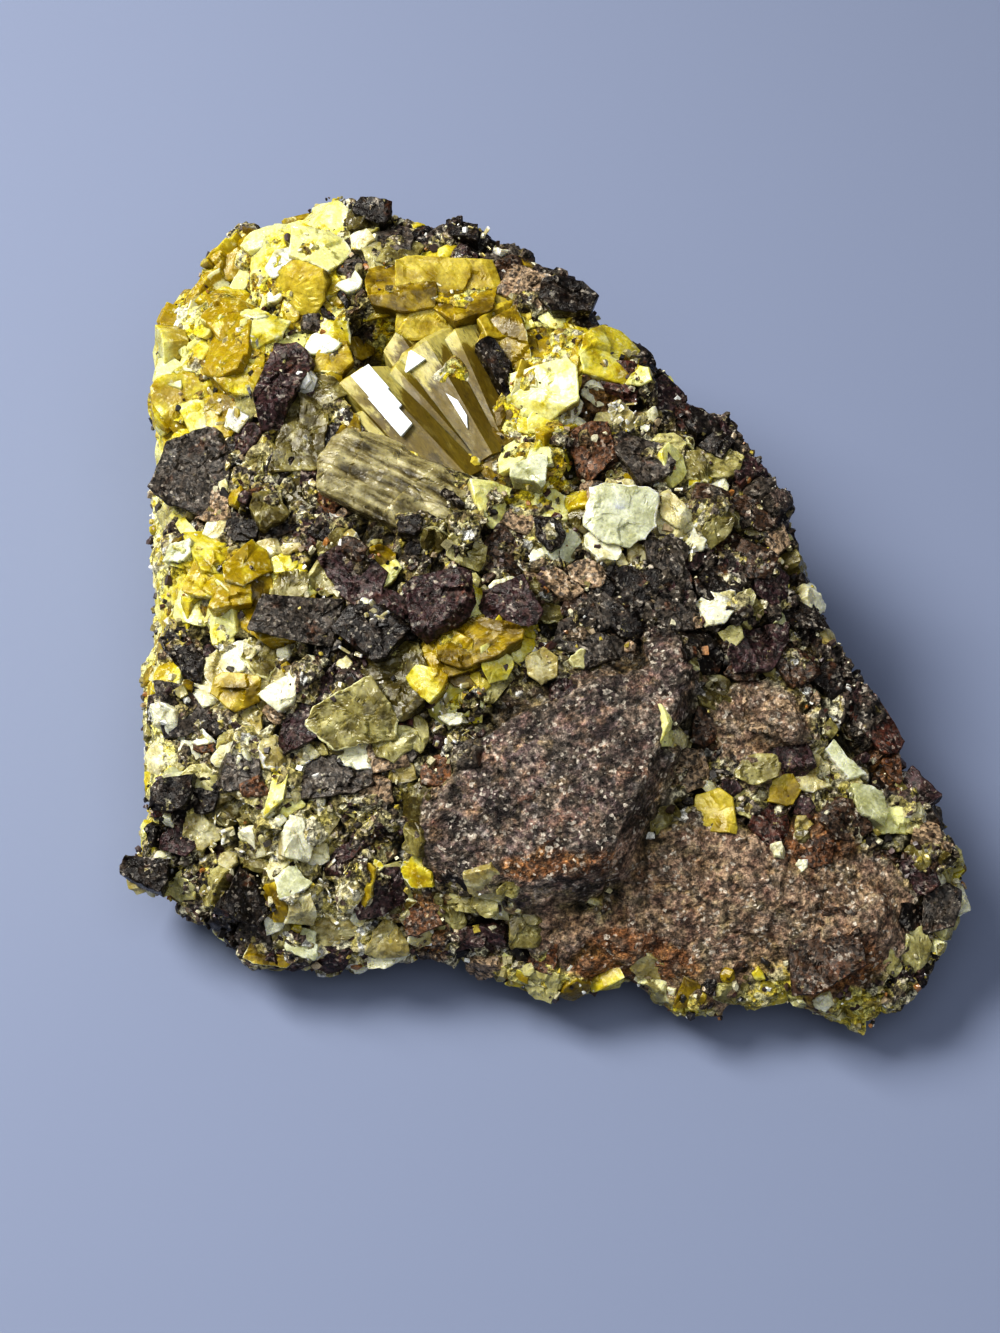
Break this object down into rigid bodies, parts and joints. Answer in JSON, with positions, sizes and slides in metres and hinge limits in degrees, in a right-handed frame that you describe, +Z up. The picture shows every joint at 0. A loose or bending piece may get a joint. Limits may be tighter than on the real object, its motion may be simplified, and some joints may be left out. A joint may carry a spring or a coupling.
{
  "type": "pyromorphite specimen",
  "caption": "Mineral hand specimen: yellow pyromorphite crystals and a crystal-lined vug on a wedge of brown-black iron-oxide gossan, resting on its broken flat underside.",
  "frame": {"origin": "centre of the specimen's bounding box in plan, at the height of the flat underside that it rests on", "axes": "+Z up from the rest face, -Y towards the low front edge, +X towards the low right-hand corner, the vug to the back left"},
  "size_m": [0.058, 0.062, 0.0224],
  "materials": {
    "goethite_gossan": "rough, dark purple-brown to black iron oxide with rust-orange and tan patches",
    "lemon_pyromorphite": "resinous, translucent lemon-yellow crystals with bright flat faces",
    "amber_pyromorphite": "resinous, translucent amber-yellow crystals",
    "olive_pyromorphite": "satin, translucent olive to tan striated prisms",
    "cream_pyromorphite": "satin, pale mint to cream crystals"
  },
  "bodies": {
    "root": {"goethite_matrix": "goethite_gossan", "vug_crystal_crust": "amber_pyromorphite", "shoulder_crust": "lemon_pyromorphite", "right_cluster": "lemon_pyromorphite", "east_druse": "olive_pyromorphite", "pale_crystals": "cream_pyromorphite", "centre_pocket_crystals": "lemon_pyromorphite", "left_face_crystals": "lemon_pyromorphite", "lower_left_druse": "cream_pyromorphite", "front_seam": "amber_pyromorphite", "left_edge_vein": "lemon_pyromorphite", "striated_bundle": "olive_pyromorphite"}
  },
  "joints": []
}
